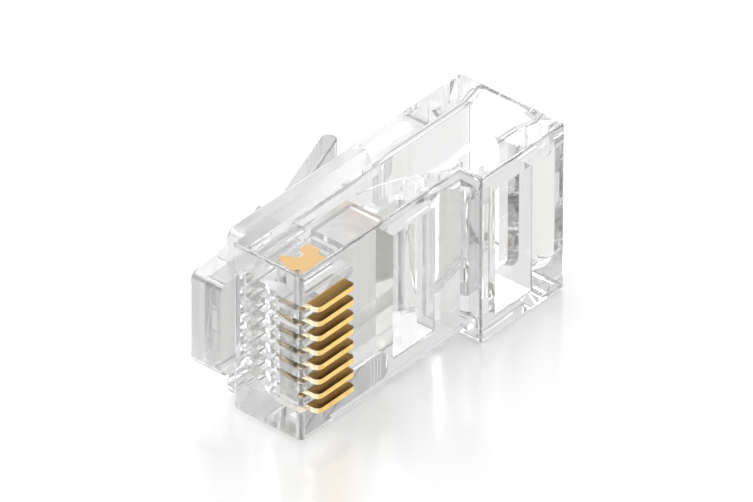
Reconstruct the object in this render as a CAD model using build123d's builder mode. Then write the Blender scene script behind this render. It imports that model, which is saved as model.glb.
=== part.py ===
# Eight-position modular plug (8P8C) for round network cable: clear polycarbonate, not yet crimped.
# The plug lies on one side wall. In the comments and the sizes, x is counted from the nose at the
# contact comb towards the cable entry, y from the contact face towards the latch, and z from the
# wall that it lies on. The origin is the middle of the plug's outline on that wall.
from build123d import *
import math
import os

os.makedirs("parts", exist_ok=True)

# Body
plug_width = 11.68
body_length = 21.5
body_height = 6.35          # contact face to the outside of the latch-side rails
nose_height = 5.25          # contact face to the latch side of the nose
step_x = 14.0               # where the thicker rear block starts
step_height = 1.6           # how far the rear block stands proud of the contact face
edge_radius = 0.22
nose_radius = 0.35

# Latch-side rails and the recess between them
rail_front_x = 0.7
rail_front_radius = 0.8
recess_end_x = 13.2
recess_ramp = 0.9
latch_side_gap = 0.14       # each side of the latch, to the rails

# Latch
latch_width = 6.5
lever_width = 3.25
knuckle_front_x = -1.0      # the latch root stands ahead of the comb
knuckle_radius = 0.7
knuckle_edge_radius = 0.25
latch_outer_y = 7.6         # outside of the knuckle and of the lever's flat start
hinge_x = 1.7
hinge_radius = 0.55         # half the thickness of the web that bends
hinge_gap = 0.05
bend_x = 2.75
shoulder_x = 6.65           # rear of the two locking shoulders
lever_angle = 19.2
lever_length = 14.35        # along the slope, from the bend to the tip
lever_thickness = 1.0
lever_tip_radius = 0.45
shoulder_radius = 0.4
grip_groove_count = 4
grip_groove_pitch = 0.5
grip_groove_radius = 0.1
latch_edge_radius = 0.15

# Contacts
contact_count = 8
contact_pitch = 1.016
blade_thickness = 0.35
blade_front_x = 0.5
blade_length = 3.25
blade_proud = 0.85          # outer edge above the contact face, before crimping
blade_front_radius = 0.42
blade_rear_radius = 0.25
blade_heel_y = 0.95         # depth at which the blade narrows to its neck
neck_inset = 0.4
neck_length = 0.65
tine_width = 0.95
tip_inset = 1.28            # point of the long piercing tine, behind the blade's front
tip_y = 3.2
waist_inset = 0.67          # front of the plate at its neck
heel_tine_end = 0.76        # width of the short rear tine where it ends
heel_tine_y = 2.7
tine_valley_y = 2.15

# Contact slots
slot_side_gap = 0.03        # each side of a blade
slot_end_gap = 0.08
slot_tail = 1.1             # relief behind each blade, closed towards the contact face
slot_tail_y = 0.9
slot_open_depth = 2.0       # depth of the comb where it is open at the nose

# Wire channels
wire_radius = 0.5           # half the depth of a channel
channel_width = 0.88
channel_corner_radius = 0.25
wire_floor_y = 4.5          # latch-side floor of the channels
wire_top_y = 3.5            # contact-side top of the channels
wire_stop = 0.85            # thickness of the nose wall that stops the wires
guide_end_x = 4.4           # the channels end here, and a smooth slot leads to the cavity

# Crimp pocket over the wires, with its folding bar
pocket_front_x = 8.15
pocket_rear_x = 11.7
pocket_depth = 1.35         # straight rear wall, down to the bar
pocket_width = 8.6
wire_bar_side_gap = 0.8
wire_bar_floor_y = 2.2
wire_bar_radius = 0.5       # rear end, which rolls in its seat

# Window over the cable jacket, with its folding bar
window_front_x = 15.3
window_rear_x = 18.5
window_width = 8.8
jacket_bar_side_gap = 1.1
jacket_bar_length = 1.45
jacket_bar_radius = 0.5     # front end, which rolls in its seat
bar_gap = 0.05
rim_radius = 0.1            # softened rims of the pocket and the window

# Cable cavity
cavity_side_wall = 1.3
cavity_corner_radius = 1.0
cavity_top_y = 0.85         # inside of the contact-side wall at the rear
bar_swing_gap = 0.2         # between the wire bar and the roof behind it
cavity_floor_y = 5.2        # inside of the latch-side wall at the rear
mouth_flare = 0.35          # on every side
mouth_flare_length = 1.3

# Round marks that the ejector pins leave
pin_mark_radius = 0.55
pin_mark_depth = 0.05
pin_mark_inset_x = 1.8
pin_mark_inset_z = 1.05

# Places worked out from the sizes above
lever_slope = math.radians(lever_angle)
lever_end_x = bend_x + lever_length * math.cos(lever_slope)
lever_end_y = latch_outer_y + lever_length * math.sin(lever_slope)
tip_rise = lever_tip_radius * (1 - math.sin(lever_slope) - math.cos(lever_slope))
outline_top_y = lever_end_y + tip_rise
middle_x = (knuckle_front_x + body_length) / 2
middle_y = (outline_top_y - step_height) / 2
middle_z = plug_width / 2
latch_bottom_z = middle_z - latch_width / 2
rail_width = latch_bottom_z - latch_side_gap
hinge_y = latch_outer_y - hinge_radius
contact_z = [middle_z + (i - (contact_count - 1) / 2) * contact_pitch for i in range(contact_count)]
slot_front_x = blade_front_x - slot_end_gap
slot_rear_x = blade_front_x + blade_length + slot_end_gap
wire_bar_seat = (pocket_rear_x, pocket_depth + wire_bar_radius)
jacket_bar_seat = (window_front_x, cavity_top_y - jacket_bar_radius)
overcut = 1.0
slip = 0.01


def side_plane(z):
    """Drawing plane that looks across the plug, at height z."""
    return Plane(origin=(-middle_x, -middle_y, z))


def cross_plane(x):
    """Drawing plane across the plug's length, at distance x from the nose."""
    return Plane(origin=(x - middle_x, -middle_y, 0), x_dir=(0, 1, 0), z_dir=(1, 0, 0))


def near_x(x):
    """Selector for edges whose middle lies at distance x from the nose."""
    return lambda edge: abs(edge.center().X + middle_x - x) < slip


def on_side_walls(edge):
    """Selector for edges that lie in either side wall's outer face."""
    return min(edge.center().Z, plug_width - edge.center().Z) < slip


# Space for the cable: a funnel from the jacket's width down to a row of single wires
with BuildPart() as cable_space:
    with BuildSketch(side_plane(cavity_side_wall)):
        with BuildLine():
            roof = Spline(
                (pocket_front_x, wire_top_y),
                (pocket_rear_x, pocket_depth + 2 * wire_bar_radius + bar_swing_gap),
                (window_front_x, cavity_top_y),
                tangents=((1, -0.1), (1, -0.1)),
            )
            Polyline(
                roof @ 1,
                (body_length + overcut, cavity_top_y),
                (body_length + overcut, cavity_floor_y),
                (recess_end_x + recess_ramp, cavity_floor_y),
                (recess_end_x - recess_ramp, wire_floor_y),
                (guide_end_x, wire_floor_y),
                (guide_end_x, wire_top_y),
                roof @ 0,
            )
        make_face()
    extrude(amount=plug_width - 2 * cavity_side_wall)
    with BuildSketch(cross_plane(guide_end_x)):
        with Locations(((cavity_top_y + cavity_floor_y) / 2, middle_z)):
            RectangleRounded(
                cavity_floor_y - cavity_top_y,
                plug_width - 2 * cavity_side_wall,
                cavity_corner_radius,
            )
    extrude(amount=body_length + overcut - guide_end_x, mode=Mode.INTERSECT)

# Housing: one clear moulding, without the three tabs that bend on it
with BuildPart() as housing:
    with BuildSketch(side_plane(0)):
        with BuildLine():
            Polyline(
                (0, 0),
                (step_x, 0),
                (step_x, -step_height),
                (body_length, -step_height),
                (body_length, body_height),
                (recess_end_x, body_height),
                (recess_end_x - recess_ramp, nose_height),
                (0, nose_height),
                close=True,
            )
        make_face()
    extrude(amount=plug_width)
    upright_edges = housing.edges().filter_by(Axis.Z)
    fillet(upright_edges.filter_by(near_x(body_length)), edge_radius)
    fillet(housing.edges().filter_by(Axis.Z).filter_by(near_x(step_x)).sort_by(Axis.Y)[0], edge_radius)
    fillet(housing.edges().filter_by(Axis.Z).filter_by(near_x(0)), nose_radius)

    # The two rails beside the latch
    for rail_z in (0, plug_width - rail_width):
        with BuildSketch(side_plane(rail_z)):
            with BuildLine():
                Polyline(
                    (rail_front_x, nose_height - overcut),
                    (rail_front_x, body_height),
                    (body_length - overcut, body_height),
                    (body_length - overcut, nose_height - overcut),
                    close=True,
                )
            make_face()
        extrude(amount=rail_width)
    rail_corners = housing.edges().filter_by(Axis.Y).filter_by(near_x(rail_front_x))
    fillet(rail_corners.filter_by(on_side_walls), rail_front_radius)
    side_walls = housing.faces().filter_by(Axis.Z).sort_by(Axis.Z)
    fillet(side_walls[0].outer_wire().edges() + side_walls[-1].outer_wire().edges(), edge_radius)

    # Knuckle that carries the latch ahead of the comb, and the seat that the lever bends in
    with BuildSketch(side_plane(latch_bottom_z)):
        with BuildLine():
            Polyline(
                (knuckle_front_x, nose_height),
                (knuckle_front_x, latch_outer_y),
                (hinge_x, latch_outer_y),
                (hinge_x, nose_height - nose_radius),
                (nose_radius, nose_height - nose_radius),
                (nose_radius, nose_height),
                close=True,
            )
        make_face()
    extrude(amount=latch_width)
    fillet(housing.faces().sort_by(Axis.X)[0].edges().filter_by(Axis.Y), knuckle_radius)
    knuckle_front = housing.faces().sort_by(Axis.X)[0]
    fillet(knuckle_front.edges().filter_by(Axis.Z).sort_by(Axis.Y)[-1], knuckle_edge_radius)
    with BuildSketch(side_plane(latch_bottom_z - latch_side_gap)):
        with Locations((hinge_x, hinge_y)):
            Circle(hinge_radius + hinge_gap)
    extrude(amount=latch_width + 2 * latch_side_gap, mode=Mode.SUBTRACT)

    # Cable cavity with its flared mouth
    add(cable_space.part, mode=Mode.SUBTRACT)
    with BuildSketch(cross_plane(body_length - mouth_flare_length)) as mouth_inside:
        with Locations(((cavity_top_y + cavity_floor_y) / 2, middle_z)):
            RectangleRounded(
                cavity_floor_y - cavity_top_y,
                plug_width - 2 * cavity_side_wall,
                cavity_corner_radius,
            )
    with BuildSketch(cross_plane(body_length)) as mouth_outside:
        with Locations(((cavity_top_y + cavity_floor_y) / 2, middle_z)):
            RectangleRounded(
                cavity_floor_y - cavity_top_y + 2 * mouth_flare,
                plug_width - 2 * cavity_side_wall + 2 * mouth_flare,
                cavity_corner_radius + mouth_flare,
            )
    loft(sections=[mouth_inside.sketch, mouth_outside.sketch], mode=Mode.SUBTRACT)

    # Wire channels side by side, with a thin wall between each two
    with BuildSketch(cross_plane(wire_stop)):
        for z in contact_z:
            with Locations(((wire_floor_y + wire_top_y) / 2, z)):
                RectangleRounded(wire_floor_y - wire_top_y, channel_width, channel_corner_radius)
    extrude(amount=guide_end_x - wire_stop + slip, mode=Mode.SUBTRACT)

    # Contact slots, open at the nose for the spring wires of the jack
    for z in contact_z:
        with BuildSketch(side_plane(z - blade_thickness / 2 - slot_side_gap)):
            with BuildLine():
                Polyline(
                    (-overcut, -overcut),
                    (slot_rear_x, -overcut),
                    (slot_rear_x, 0),
                    (slot_rear_x + slot_tail, slot_tail_y),
                    (slot_rear_x + slot_tail, wire_top_y + wire_radius),
                    (wire_stop, wire_top_y + wire_radius),
                    (wire_stop, wire_top_y - wire_radius),
                    (slot_front_x, wire_top_y - 2 * wire_radius),
                    (slot_front_x, slot_open_depth),
                    (-overcut, slot_open_depth),
                    close=True,
                )
            make_face()
        extrude(amount=blade_thickness + 2 * slot_side_gap, mode=Mode.SUBTRACT)

    # Crimp pocket over the wires, and the seat of its bar
    with BuildSketch(side_plane(middle_z - pocket_width / 2)):
        with BuildLine():
            Polyline(
                (pocket_front_x, -overcut),
                (pocket_rear_x, -overcut),
                (pocket_rear_x, wire_top_y),
                (pocket_front_x, wire_top_y),
                close=True,
            )
        make_face()
        with Locations(wire_bar_seat):
            Circle(wire_bar_radius + bar_gap)
    extrude(amount=pocket_width, mode=Mode.SUBTRACT)

    # Window over the cable jacket, and the seat of its bar
    with BuildSketch(side_plane(middle_z - window_width / 2)):
        with BuildLine():
            Polyline(
                (window_front_x, -step_height - overcut),
                (window_rear_x, -step_height - overcut),
                (window_rear_x, cavity_top_y + overcut),
                (window_front_x, cavity_top_y + overcut),
                close=True,
            )
        make_face()
        with Locations(jacket_bar_seat):
            Circle(jacket_bar_radius + bar_gap)
    extrude(amount=window_width, mode=Mode.SUBTRACT)

    # Softened rims of the pocket and the window
    for face_y, front_x in ((0, pocket_front_x), (-step_height, window_front_x)):
        outer_face = housing.faces().filter_by(Axis.Y).filter_by(
            lambda face: abs(face.center().Y + middle_y - face_y) < slip
        ).sort_by(SortBy.AREA)[-1]
        rim = outer_face.inner_wires().sort_by(lambda wire: abs(wire.center().X + middle_x - front_x))[0]
        fillet(rim.edges(), rim_radius)

    # Ejector pin marks beside the window
    for mark_z in (pin_mark_inset_z, plug_width - pin_mark_inset_z):
        mark_x = body_length - pin_mark_inset_x - middle_x
        with BuildSketch(
            Plane(origin=(mark_x, -step_height - middle_y, mark_z), z_dir=(0, 1, 0))
        ):
            Circle(pin_mark_radius)
        extrude(amount=pin_mark_depth, mode=Mode.SUBTRACT)
housing.part.label = "housing"
export_step(housing.part, "parts/housing.step")

# Latch lever: a wide root with two locking shoulders, then a narrow sloping thumb lever
with BuildPart() as latch_lever:
    with BuildSketch(side_plane(latch_bottom_z)):
        with BuildLine():
            inner_bend_x = bend_x + (2 * hinge_radius - lever_thickness) * math.sin(lever_slope)
            inner_end = (
                lever_end_x + lever_thickness * math.sin(lever_slope),
                lever_end_y - lever_thickness * math.cos(lever_slope),
            )
            Polyline(
                (hinge_x, latch_outer_y),
                (bend_x, latch_outer_y),
                (lever_end_x, lever_end_y),
                inner_end,
                (inner_bend_x + lever_thickness * math.tan(lever_slope / 2), latch_outer_y - lever_thickness),
                (hinge_x, latch_outer_y - 2 * hinge_radius),
                close=True,
            )
        make_face()
        with Locations((hinge_x, hinge_y)):
            Circle(hinge_radius)
    extrude(amount=latch_width)
    tip_edges = latch_lever.faces().sort_by(Axis.X)[-1].edges().filter_by(Axis.Z)
    fillet(tip_edges, lever_tip_radius)

    # Step from the locking shoulders to the thumb lever
    for cut_z in (latch_bottom_z - overcut, middle_z + lever_width / 2):
        with BuildSketch(side_plane(cut_z)):
            with BuildLine():
                Polyline(
                    (shoulder_x, 0),
                    (shoulder_x, 2 * lever_end_y),
                    (2 * lever_end_x, 2 * lever_end_y),
                    (2 * lever_end_x, 0),
                    close=True,
                )
            make_face()
        extrude(amount=(latch_width - lever_width) / 2 + overcut, mode=Mode.SUBTRACT)
    inner_corners = latch_lever.edges().filter_by(Plane.YZ).filter_by(near_x(shoulder_x))
    root_corners = inner_corners.filter_by(
        lambda edge: abs(abs(edge.center().Z - middle_z) - lever_width / 2) < slip
    )
    fillet(root_corners, shoulder_radius)

    # Softened edges along both sides
    side_edges = latch_lever.faces().filter_by(Axis.Z).edges()
    side_edges = side_edges.filter_by(GeomType.LINE).filter_by(lambda edge: edge.length > lever_thickness)
    fillet(side_edges.filter_by(lambda edge: edge.center().X > bend_x - middle_x), latch_edge_radius)

    # Grip grooves across the thumb end
    for i in range(grip_groove_count):
        along = lever_length - lever_tip_radius - (i + 1) * grip_groove_pitch
        groove_x = bend_x + along * math.cos(lever_slope)
        groove_y = latch_outer_y + along * math.sin(lever_slope)
        with BuildSketch(side_plane(middle_z - lever_width)):
            with Locations((groove_x, groove_y)):
                Circle(grip_groove_radius)
        extrude(amount=2 * lever_width, mode=Mode.SUBTRACT)
latch_lever.part.label = "latch_lever"
export_step(latch_lever.part, "parts/latch_lever.step")

# Bar over the wires: the crimp folds it down about its rear edge
with BuildPart() as wire_bar:
    with BuildSketch(side_plane(middle_z - pocket_width / 2 + wire_bar_side_gap)):
        with BuildLine():
            Polyline(
                (pocket_rear_x, pocket_depth),
                (pocket_rear_x - wire_bar_floor_y + pocket_depth, wire_bar_floor_y),
                (pocket_front_x + bar_gap, wire_bar_floor_y),
                (pocket_front_x + bar_gap, wire_top_y - bar_gap),
                (pocket_front_x + wire_bar_radius, wire_top_y),
                (pocket_rear_x, pocket_depth + 2 * wire_bar_radius),
                close=True,
            )
        make_face()
        with Locations(wire_bar_seat):
            Circle(wire_bar_radius)
    extrude(amount=pocket_width - 2 * wire_bar_side_gap)
wire_bar.part.label = "wire_bar"
export_step(wire_bar.part, "parts/wire_bar.step")

# Bar over the cable jacket: the crimp folds it in about its front edge
with BuildPart() as jacket_bar:
    with BuildSketch(side_plane(middle_z - window_width / 2 + jacket_bar_side_gap)):
        with BuildLine():
            Polyline(
                (window_front_x, cavity_top_y - 2 * jacket_bar_radius),
                (window_front_x + jacket_bar_length, cavity_top_y - 2 * jacket_bar_radius),
                (window_front_x + jacket_bar_length + jacket_bar_radius / 2, cavity_top_y),
                (window_front_x, cavity_top_y),
                close=True,
            )
        make_face()
        with Locations(jacket_bar_seat):
            Circle(jacket_bar_radius)
    extrude(amount=window_width - 2 * jacket_bar_side_gap)
jacket_bar.part.label = "jacket_bar"
export_step(jacket_bar.part, "parts/jacket_bar.step")

# Contacts: stamped blades with a long and a short tine that pierce the wire
for number, z in enumerate(contact_z, start=1):
    with BuildPart() as contact:
        with BuildSketch(side_plane(z - blade_thickness / 2)):
            blade_rear_x = blade_front_x + blade_length
            with BuildLine():
                Polyline(
                    (blade_front_x, -blade_proud),
                    (blade_rear_x, -blade_proud),
                    (blade_rear_x, blade_heel_y),
                    (blade_rear_x - neck_inset, blade_heel_y + neck_inset / 3),
                    (blade_rear_x - neck_inset, blade_heel_y + neck_length),
                    (blade_rear_x, blade_heel_y + neck_length + neck_inset / 2),
                    (blade_rear_x, heel_tine_y),
                    (blade_rear_x - heel_tine_end, heel_tine_y),
                    (blade_rear_x - tine_width, tine_valley_y),
                    (blade_front_x + 2 * tine_width, tine_valley_y),
                    (blade_front_x + tip_inset, tip_y),
                    (blade_front_x + tine_width, tine_valley_y + neck_length),
                    (blade_front_x + waist_inset, blade_heel_y + neck_length),
                    (blade_front_x + tine_width, blade_heel_y + neck_length - neck_inset / 3),
                    (blade_front_x + tine_width, blade_heel_y),
                    (blade_front_x, blade_heel_y - neck_inset / 2),
                    close=True,
                )
            make_face()
        extrude(amount=blade_thickness)
        outer_corners = contact.edges().filter_by(Axis.Z).group_by(Axis.Y)[0].sort_by(Axis.X)
        fillet(outer_corners[0], blade_front_radius)
        fillet(
            contact.edges().filter_by(Axis.Z).group_by(Axis.Y)[0].sort_by(Axis.X)[-1],
            blade_rear_radius,
        )
    contact.part.label = f"contact_{number}"
    export_step(contact.part, f"parts/contact_{number}.step")
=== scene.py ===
# %% [markdown]
# # A clear modular plug with gold contacts
#
# The plug is a clear moulding about 22 mm long, with eight gold-plated blades pushed part of the way
# into it. It lies on one side wall on a white table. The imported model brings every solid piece, so
# this lesson is about light and finish: how clear plastic is made to read on white, and how thin gold
# is made to glow.

import bpy
import numpy as np
from mathutils import Matrix, Vector

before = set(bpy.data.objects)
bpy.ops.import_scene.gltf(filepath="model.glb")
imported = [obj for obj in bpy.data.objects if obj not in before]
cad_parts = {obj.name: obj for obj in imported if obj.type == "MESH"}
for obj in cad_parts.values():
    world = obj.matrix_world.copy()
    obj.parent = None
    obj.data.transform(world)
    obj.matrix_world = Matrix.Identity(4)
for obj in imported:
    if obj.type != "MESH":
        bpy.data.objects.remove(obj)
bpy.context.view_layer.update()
scene = bpy.context.scene
MM = 0.001  # the model is in metres

# %% [markdown]
# ## Camera
#
# The plug was seen from above its nose, 35 degrees up, through a very long lens: its far end is drawn
# almost as large as its near end. So the camera stands nearly a metre away from a 22 mm object. It
# could also be turned by hand until the outline fits, but a direction and a distance are easier to
# measure and to repeat.

# %% Camera
FRAME_WIDTH = 753
SENSOR_WIDTH = 36.0
FOCAL_LENGTH = 16630  # in pixels, as are the two shifts
SHIFTS = (1.34, 12.88)
CAMERA_DISTANCE = 955.8 * MM
target = Vector((-0.25, -2.298, 5.8)) * MM
view_direction = Vector((0.6193, 0.529, -0.5802)).normalized()

right = view_direction.cross(Vector((0, 0, 1))).normalized()
above = right.cross(view_direction)
camera_data = bpy.data.cameras.new("camera")
camera_data.sensor_width = SENSOR_WIDTH
camera_data.lens = FOCAL_LENGTH * SENSOR_WIDTH / FRAME_WIDTH
camera_data.shift_x, camera_data.shift_y = (shift / FRAME_WIDTH for shift in SHIFTS)
camera_data.clip_start = 0.01
camera = bpy.data.objects.new("camera", camera_data)
turn = Matrix((right, above, -view_direction)).transposed().to_4x4()
camera.matrix_world = Matrix.Translation(target - view_direction * CAMERA_DISTANCE) @ turn
scene.collection.objects.link(camera)
scene.camera = camera
print("lens:", round(camera_data.lens), "mm")

# %% [markdown]
# ## Helpers
#
# A colour is written as the hex value that a paint program shows, and Blender wants it linear. One
# small function adds a node with its settings and its links. Much of this lesson is about giving one
# place a slightly different finish, so a third one multiplies masks.


# %% Helpers
def linear(hex_colour):
    """sRGB hex to linear: the value over 12.92 near black, and elsewhere a power of 2.4."""
    values = np.array([int(hex_colour[i:i + 2], 16) for i in (1, 3, 5)]) / 255
    curve = np.where(values <= 0.04045, values / 12.92, ((values + 0.055) / 1.055) ** 2.4)
    return (*map(float, curve), 1.0)


def add_node(tree, kind, inputs=None, **settings):
    """Adds a node, sets its properties, and sets or links its inputs by name or by number."""
    node = tree.nodes.new(kind)
    for name, value in settings.items():
        setattr(node, name, value)
    for key, value in (inputs or {}).items():
        if isinstance(value, bpy.types.NodeSocket):
            tree.links.new(value, node.inputs[key])
        else:
            node.inputs[key].default_value = value
    return node


def all_of(tree, *masks):
    """The product of several masks, which is 1 only where each of them is 1."""
    product = masks[0]
    for mask in masks[1:]:
        product = add_node(tree, "ShaderNodeMath", {0: product, 1: mask}, operation="MULTIPLY").outputs[0]
    return product


def new_material(name):
    """An empty node material and its output."""
    material = bpy.data.materials.new(name)
    material.use_nodes = True
    material.node_tree.nodes.clear()
    return material, add_node(material.node_tree, "ShaderNodeOutputMaterial")


# %% [markdown]
# ## Table and light
#
# A clear object on white is drawn by what it bends: it needs a white field behind it and something
# darker beside it for its edges to pick up. The table is a sheet of white acrylic that looks white to
# the camera and through the plastic. A part of what it shows is real shading and a faint mirror image,
# so the reflection under the plug is kept.

# %% Table top
TABLE_HALF = 0.6
TABLE_DROP = 0.05 * MM  # an air gap as real tables have, so that the plug's underside still mirrors
table_mesh = bpy.data.meshes.new("table")
corners = np.array([(-1, -1, 0), (1, -1, 0), (1, 1, 0), (-1, 1, 0)], dtype=float) * TABLE_HALF
corners[:, 2] = -TABLE_DROP
table_mesh.from_pydata(corners.tolist(), [], [(0, 1, 2, 3)])
table = bpy.data.objects.new("table", table_mesh)
scene.collection.objects.link(table)

# %% [markdown]
# Lamps shine through this plastic, so it casts hardly any shadow, but the photograph has a soft one
# along its lower edges. Ambient occlusion, which is how much of the sky an object hides, stands in for
# it. Only the camera sees it. It lies on the blades' side and is weaker at the nose, because that
# matches the photograph, and it is not worked out from the lamps.

# %% Soft shadow beside the blades
GLOW = 1.11
SHADOW_REACH = 7.0 * MM
SHADOW_AT_NOSE = 0.3
SHADOW_AT_REAR = 0.92
table_material, output = new_material("white_acrylic_table")
tree = table_material.node_tree
path = add_node(tree, "ShaderNodeLightPath")
coordinates = add_node(tree, "ShaderNodeTexCoord")
xyz = add_node(tree, "ShaderNodeSeparateXYZ", {0: coordinates.outputs["Object"]})
sky = add_node(tree, "ShaderNodeAmbientOcclusion", {"Distance": SHADOW_REACH}, samples=8)
hidden = add_node(tree, "ShaderNodeMath", {0: 1.0, 1: sky.outputs["AO"]}, operation="SUBTRACT")
blade_side = add_node(tree, "ShaderNodeMapRange",
                      {"Value": xyz.outputs["Y"], "From Min": -1.0 * MM, "From Max": -5.5 * MM})
amount = add_node(tree, "ShaderNodeMapRange",
                  {"Value": xyz.outputs["X"], "From Min": -9.0 * MM, "From Max": -2.0 * MM,
                   "To Min": SHADOW_AT_NOSE, "To Max": SHADOW_AT_REAR})
shade = all_of(tree, hidden.outputs[0], blade_side.outputs[0], path.outputs["Is Camera Ray"],
               amount.outputs[0])
strength = add_node(tree, "ShaderNodeMath", {0: GLOW, 1: shade}, operation="SUBTRACT")

# %% White acrylic
SHADED_SHARE = 0.36
MIRROR_SHARE = 0.3
seen = path.outputs["Is Camera Ray"]
for ray in ("Is Glossy Ray", "Is Transmission Ray"):
    seen = add_node(tree, "ShaderNodeMath", {0: seen, 1: path.outputs[ray]}, operation="MAXIMUM").outputs[0]
paint = add_node(tree, "ShaderNodeBsdfDiffuse", {"Color": linear("#e4e4e4")})
glow = add_node(tree, "ShaderNodeEmission", {"Color": (1, 1, 1, 1), "Strength": strength.outputs[0]})
shaded = add_node(tree, "ShaderNodeMixShader",
                  {0: SHADED_SHARE, 1: glow.outputs[0], 2: paint.outputs[0]})
mirror = add_node(tree, "ShaderNodeBsdfGlossy", {"Color": (1, 1, 1, 1), "Roughness": 0.2})
polished = add_node(tree, "ShaderNodeMixShader",
                    {0: MIRROR_SHARE, 1: shaded.outputs[0], 2: mirror.outputs[0]})
surface = add_node(tree, "ShaderNodeMixShader", {0: seen, 1: paint.outputs[0], 2: polished.outputs[0]})
tree.links.new(surface.outputs[0], output.inputs["Surface"])
table_mesh.materials.append(table_material)
print("table:", table_material.name, len(tree.nodes), "nodes")

# %% [markdown]
# The studio is a dome, white overhead and greyer towards the horizon, so that edges which look
# sideways turn grey. The camera itself sees plain white behind the object.

# %% Studio dome
HORIZON = 0.42
HORIZON_TOP = 0.1  # heights on a dome of radius 1
WHITE_FROM = 0.55
world = bpy.data.worlds.new("studio")
world.use_nodes = True
scene.world = world
tree = world.node_tree
tree.nodes.clear()
path = add_node(tree, "ShaderNodeLightPath")
coordinates = add_node(tree, "ShaderNodeTexCoord")
parts = add_node(tree, "ShaderNodeSeparateXYZ", {0: coordinates.outputs["Generated"]})
dome = add_node(tree, "ShaderNodeValToRGB", {"Fac": parts.outputs["Z"]})
low, high = dome.color_ramp.elements
low.color, low.position = (HORIZON, HORIZON, HORIZON, 1), HORIZON_TOP
high.color, high.position = (1, 1, 1, 1), WHITE_FROM
studio = add_node(tree, "ShaderNodeBackground", {"Color": dome.outputs["Color"], "Strength": 1.0})
white = add_node(tree, "ShaderNodeBackground", {"Color": (1, 1, 1, 1), "Strength": 1.0})
backdrop = add_node(tree, "ShaderNodeMixShader",
                    {0: path.outputs["Is Camera Ray"], 1: studio.outputs[0], 2: white.outputs[0]})
add_node(tree, "ShaderNodeOutputWorld", {"Surface": backdrop.outputs[0]})

# %% [markdown]
# Three softboxes stand where the plug's rounded edges mirror them to the camera, which gives the thin
# white lines of polished plastic.


# %% Softboxes
def softbox(name, place, size, power):
    """A square area lamp that looks at the plug from a place in metres."""
    data = bpy.data.lights.new(name, "AREA")
    data.size = size
    data.energy = power
    lamp = bpy.data.objects.new(name, data)
    lamp.location = place
    lamp.rotation_euler = (-Vector(place)).to_track_quat("-Z", "Y").to_euler()
    scene.collection.objects.link(lamp)


softbox("back_softbox", place=(-0.1, 0.45, 0.45), size=0.3, power=2.0)
softbox("nose_softbox", place=(-0.29, 0.34, 0.46), size=0.2, power=0.7)
softbox("side_softbox", place=(0.38, -0.15, 0.48), size=0.2, power=0.7)

# %% [markdown]
# ## Polycarbonate
#
# The housing is injection-moulded polycarbonate, clear as glass but bending light more: its index of
# refraction is 1.585. With one even finish the render was paler and flatter than the photograph. So
# the material first works out where a point of the plastic lies, from its place and from the way it
# faces, and then gives each region its own roughness and its own tint, which is painted shade. These
# are not measured properties of the plastic: they were chosen until the render matched the photograph
# from its own view.

# %% Where a point of the plastic lies
clear, output = new_material("clear_moulded_polycarbonate")
tree = clear.node_tree
coordinates = add_node(tree, "ShaderNodeTexCoord")
xyz = add_node(tree, "ShaderNodeSeparateXYZ", {0: coordinates.outputs["Object"]})
normal = add_node(tree, "ShaderNodeSeparateXYZ", {0: coordinates.outputs["Normal"]})
facing = {axis: add_node(tree, "ShaderNodeMath", {0: normal.outputs[axis]}, operation="ABSOLUTE").outputs[0]
          for axis in "XYZ"}
upright = add_node(tree, "ShaderNodeMath", {0: facing["Z"], 1: 0.5}, operation="LESS_THAN").outputs[0]
cross_wall = add_node(tree, "ShaderNodeMath", {0: facing["X"], 1: 0.7}, operation="GREATER_THAN").outputs[0]
side_wall = add_node(tree, "ShaderNodeMath", {0: facing["Z"], 1: 0.7}, operation="GREATER_THAN").outputs[0]


def within(**spans):
    """1 between a low and a high limit in mm, along each axis that is named."""
    masks = []
    for axis, limits in spans.items():
        for limit, side in zip(limits, ("GREATER_THAN", "LESS_THAN")):
            beyond = add_node(tree, "ShaderNodeMath", {0: xyz.outputs[axis], 1: limit * MM}, operation=side)
            masks.append(beyond.outputs[0])
    return all_of(tree, *masks)


# %% [markdown]
# The body is 21.5 mm long, 6.35 mm high and 11.68 mm wide, and its outer skin is taken as 0.3 mm
# deep. What lies deeper are the walls of the comb, the channels and the cavity. The rails run along
# the latch side. Their inner faces are rough here, because smooth ones gave broken streaks where the
# photograph shows an even grey band.

# %% Regions of the moulding
SKIN = 0.3
NOSE, REAR = -10.25, 11.25
BLADE_FACE, LATCH_FACE = -5.298, 1.052
WIDTH = 11.68
COMB_END = -5.8
COMB_TOP = 9.5  # below the wall beside the last contact, which stays bright
deep_span = {"X": (NOSE + SKIN, REAR - SKIN), "Y": (BLADE_FACE + SKIN, LATCH_FACE - SKIN)}
deep = within(**deep_span, Z=(SKIN, WIDTH - SKIN))
comb = all_of(tree, facing["Z"], within(X=(NOSE + SKIN, COMB_END), Y=deep_span["Y"], Z=(SKIN, COMB_TOP)))
rear_wall = all_of(tree, cross_wall, within(X=(0.0, 10.8)))
rail = all_of(tree, side_wall, within(X=(-10.7, 11.2), Y=(-0.06, 1.2), Z=(1.8, 9.9)))
latch_side = add_node(tree, "ShaderNodeMapRange",
                      {"Value": xyz.outputs["Y"], "From Min": 1.09 * MM, "From Max": 1.12 * MM}).outputs[0]
behind_root = add_node(tree, "ShaderNodeMapRange",
                       {"Value": xyz.outputs["X"], "From Min": -8.0 * MM, "From Max": -6.0 * MM})
lever = all_of(tree, behind_root.outputs[0], latch_side)
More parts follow.
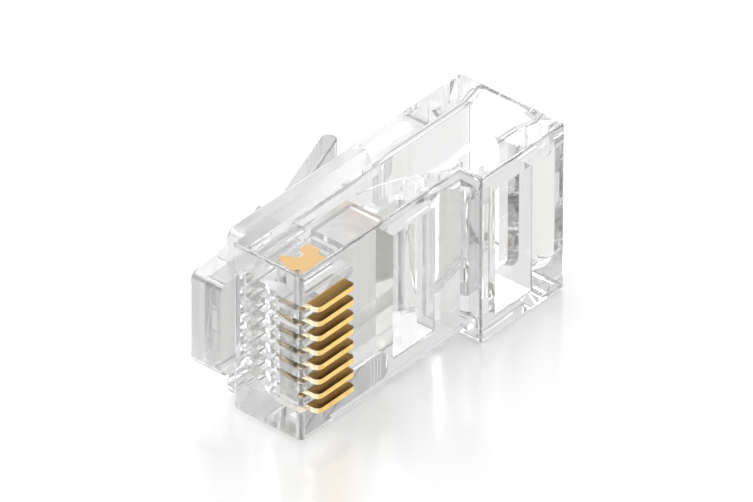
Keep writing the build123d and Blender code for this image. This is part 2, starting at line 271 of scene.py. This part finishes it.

# %% [markdown]
# Where a face turns round an outer edge, it looks along no axis. The photograph shows a thin grey
# line there. The rendered edge alone stayed too pale, so a darker tint, painted shade, stands in for
# that line.

# %% Rounded outer edges
squareness = facing["X"]
for axis in "YZ":
    squareness = add_node(tree, "ShaderNodeMath", {0: squareness, 1: facing[axis]},
                          operation="MAXIMUM").outputs[0]
turning = add_node(tree, "ShaderNodeMapRange", {"Value": squareness, "From Min": 0.92, "From Max": 0.85})
outer = add_node(tree, "ShaderNodeMath", {0: 1.0, 1: deep}, operation="SUBTRACT")
rounded = all_of(tree, turning.outputs[0], outer.outputs[0])

# %% [markdown]
# The latch and the two folding bars are moulded in one with the housing. In the model they turn in
# round seats, so that they can move. There the plastic has no skin: light goes straight through the
# hairline gap, and the pieces look as one.

# %% Seams that stay unseen
PAST_AXIS = 0.02


def seam(axis_x, axis_y, reach, side, below):
    """1 on a round seat: near its axis, on its front (-1) or rear (1) side and low enough, in mm."""
    axis = add_node(tree, "ShaderNodeCombineXYZ", {0: axis_x * MM, 1: axis_y * MM})
    flat = add_node(tree, "ShaderNodeCombineXYZ", {0: xyz.outputs["X"], 1: xyz.outputs["Y"]})
    away = add_node(tree, "ShaderNodeVectorMath", {0: flat.outputs[0], 1: axis.outputs[0]},
                    operation="DISTANCE")
    near = add_node(tree, "ShaderNodeMath", {0: away.outputs["Value"], 1: reach * MM},
                    operation="LESS_THAN")
    beside = add_node(tree, "ShaderNodeMath", {0: xyz.outputs["X"], 1: (axis_x + side * PAST_AXIS) * MM},
                      operation="GREATER_THAN" if side > 0 else "LESS_THAN")
    low = add_node(tree, "ShaderNodeMath", {0: xyz.outputs["Y"], 1: below * MM}, operation="LESS_THAN")
    return all_of(tree, near.outputs[0], beside.outputs[0], low.outputs[0])


latch_seam = seam(axis_x=-8.55, axis_y=1.752, reach=0.62, side=-1, below=2.15)
wire_bar_seam = seam(axis_x=1.45, axis_y=-3.448, reach=0.57, side=1, below=9.0)
jacket_bar_seam = seam(axis_x=5.05, axis_y=-4.948, reach=0.57, side=-1, below=9.0)
seams = latch_seam
for other in (wire_bar_seam, jacket_bar_seam):
    seams = add_node(tree, "ShaderNodeMath", {0: seams, 1: other}, operation="MAXIMUM").outputs[0]
seams = all_of(tree, seams, upright)

# %% [markdown]
# A tint on the surface darkens the light each time that it passes a wall. The tint is painted shade,
# given region by region to the upright faces, the comb, the rear cross walls, the lever and the
# rounded outer edges, so the comb and the cavity gain depth. The latch looks a little milky in the
# photograph, so it lets less light through here.
# A moulded skin is not quite flat, because the plastic shrinks as it cools. The ripples are drawn
# about 3 mm wide, a chosen size.

# %% Painted shade as a tint, roughness and clarity
RIPPLE_SCALE = 300.0  # ripples in a metre
MILKINESS = 0.32
# Painted shade as the tint: greyer upright faces, comb and rear cross walls, a darker lever, which the
# lamps light more, and the darkest tint on the rounded edges.
painted_shade_tint = linear("#ffffff")
for region, colour in ((upright, "#e5e5e4"), (comb, "#e6e6e6"), (rear_wall, "#dedede"),
                       (lever, "#d3d4d4"), (rounded, "#b4b5b5")):
    painted_shade_tint = add_node(tree, "ShaderNodeMix", {0: region, 6: painted_shade_tint, 7: linear(colour)},
                    data_type="RGBA").outputs[2]
roughness = 0.01
for region, more in ((deep, 0.01), (latch_side, 0.12), (rail, 0.35)):
    roughness = add_node(tree, "ShaderNodeMath", {0: region, 1: more, 2: roughness},
                         operation="MULTIPLY_ADD").outputs[0]
clarity = add_node(tree, "ShaderNodeMath", {0: latch_side, 1: -MILKINESS, 2: 1.0},
                   operation="MULTIPLY_ADD")
ripple = add_node(tree, "ShaderNodeTexNoise",
                  {"Vector": coordinates.outputs["Object"], "Scale": RIPPLE_SCALE, "Detail": 1.0})
skin = add_node(tree, "ShaderNodeBump",
                {"Strength": 0.03, "Distance": 0.2 * MM, "Height": ripple.outputs["Fac"]})

# %% [markdown]
# The plastic is a little grey where light goes through much of it, so the solid walls show beside the
# empty cavity. How grey is chosen. Lamps shine through it, so its own shadow is faint.

# %% Clear moulded polycarbonate
plastic = add_node(tree, "ShaderNodeBsdfPrincipled",
                   {"Base Color": painted_shade_tint, "Roughness": roughness, "IOR": 1.585,
                    "Transmission Weight": clarity.outputs[0], "Normal": skin.outputs["Normal"]})
gap = add_node(tree, "ShaderNodeBsdfTransparent", {"Color": (1, 1, 1, 1)})
moulded = add_node(tree, "ShaderNodeMixShader", {0: seams, 1: plastic.outputs[0], 2: gap.outputs[0]})
path = add_node(tree, "ShaderNodeLightPath")
lamp_light = add_node(tree, "ShaderNodeBsdfTransparent", {"Color": (0.86, 0.86, 0.86, 1)})
surface = add_node(tree, "ShaderNodeMixShader",
                   {0: path.outputs["Is Shadow Ray"], 1: moulded.outputs[0], 2: lamp_light.outputs[0]})
tree.links.new(surface.outputs[0], output.inputs["Surface"])
body = add_node(tree, "ShaderNodeVolumeAbsorption", {"Color": (0.5, 0.5, 0.5, 1), "Density": 24.0})
tree.links.new(body.outputs[0], output.inputs["Volume"])
print("polycarbonate:", len(tree.nodes), "nodes")

# %% [markdown]
# ## Contacts
#
# A contact is usually stamped from phosphor bronze strip and gold plated where the jack's springs
# touch it: on its outer edge. So the edge is bright gold. The flat faces are browner, partly for the
# bronze and partly as painted shade, darkest between the blades, as the photograph shows them.
#
# The eight real contacts are surely alike. Here the front edges and what is buried are paler, because
# gold there shone through the comb as orange slivers that the photograph doesn't show. The outer two
# keep a warm flat face all the way down, for the amber plate that the photograph shows behind the
# side wall. This is a match to one view, and not how the metal really changes.

# %% Where a point of a contact lies
gold, output = new_material("gold_plated_phosphor_bronze")
tree = gold.node_tree
coordinates = add_node(tree, "ShaderNodeTexCoord")
xyz = add_node(tree, "ShaderNodeSeparateXYZ", {0: coordinates.outputs["Object"]})
normal = add_node(tree, "ShaderNodeSeparateXYZ", {0: coordinates.outputs["Normal"]})
across = add_node(tree, "ShaderNodeMath", {0: normal.outputs["Z"]}, operation="ABSOLUTE")
flat_face = add_node(tree, "ShaderNodeMath", {0: across.outputs[0], 1: 0.7}, operation="GREATER_THAN")
front_face = add_node(tree, "ShaderNodeMath", {0: normal.outputs["X"], 1: -0.7}, operation="LESS_THAN")
buried = add_node(tree, "ShaderNodeMapRange",
                  {"Value": xyz.outputs["Y"], "From Min": -5.2 * MM, "From Max": -4.9 * MM})
from_middle = add_node(tree, "ShaderNodeMath", {0: xyz.outputs["Z"], 1: -WIDTH / 2 * MM}, operation="ADD")
from_middle = add_node(tree, "ShaderNodeMath", {0: from_middle.outputs[0]}, operation="ABSOLUTE")
inner_six = add_node(tree, "ShaderNodeMath", {0: from_middle.outputs[0], 1: 3.05 * MM},
                     operation="LESS_THAN")
buried_six = all_of(tree, inner_six.outputs[0], buried.outputs[0])

# %% Gold on the edge; bronze and painted shade on the flat faces
GRAIN_SCALE = 2500.0  # grains in a metre: 0.4 mm each, coarser than real ones so that they show
grain = add_node(tree, "ShaderNodeTexNoise",
                 {"Vector": coordinates.outputs["Object"], "Scale": GRAIN_SCALE, "Detail": 3.0})
# Painted shade on the flat faces: dark brown outwards, between the blades, turning light amber deeper in.
depth = add_node(tree, "ShaderNodeMapRange",
                 {"Value": xyz.outputs["Y"], "From Min": -6.1 * MM, "From Max": -4.6 * MM})
edge_tone = add_node(tree, "ShaderNodeValToRGB", {"Fac": grain.outputs["Fac"]})
face_bronze_and_shade = add_node(tree, "ShaderNodeValToRGB", {"Fac": depth.outputs[0]})
for ramp, colours in ((edge_tone, ("#e6b552", "#fbe09a")), (face_bronze_and_shade, ("#85653a", "#f6c878"))):
    for element, colour in zip(ramp.color_ramp.elements, colours):
        element.color = linear(colour)
edge = edge_tone.outputs["Color"]
for region, colour in ((buried, "#d4d1c8"), (front_face, "#f2e6c8")):
    edge = add_node(tree, "ShaderNodeMix", {0: region.outputs[0], 6: edge, 7: linear(colour)},
                    data_type="RGBA").outputs[2]
face = add_node(tree, "ShaderNodeMix",
                {0: buried_six, 6: face_bronze_and_shade.outputs["Color"], 7: linear("#cecbc5")}, data_type="RGBA")
tone = add_node(tree, "ShaderNodeMix",
                {0: flat_face.outputs[0], 6: edge, 7: face.outputs[2]}, data_type="RGBA")
metal = add_node(tree, "ShaderNodeBsdfPrincipled",
                 {"Base Color": tone.outputs[2], "Metallic": 1.0, "Roughness": 0.25})
tree.links.new(metal.outputs[0], output.inputs["Surface"])
print("contacts:", len(tree.nodes), "nodes")

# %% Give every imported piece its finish
for name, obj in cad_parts.items():
    finish = gold if name.startswith("contact") else clear
    obj.data.materials.clear()
    obj.data.materials.append(finish)

# %% [markdown]
# ## Render settings
#
# Light that enters clear plastic is mirrored inside it many times before it leaves. With few bounces
# it is cut off inside, and what it would have shown turns black.

# %% Bounces for clear plastic
scene.view_settings.view_transform = "Standard"
scene.cycles.use_denoising = True
scene.cycles.max_bounces = 64
scene.cycles.transmission_bounces = 64
scene.cycles.transparent_max_bounces = 32
scene.cycles.glossy_bounces = 48
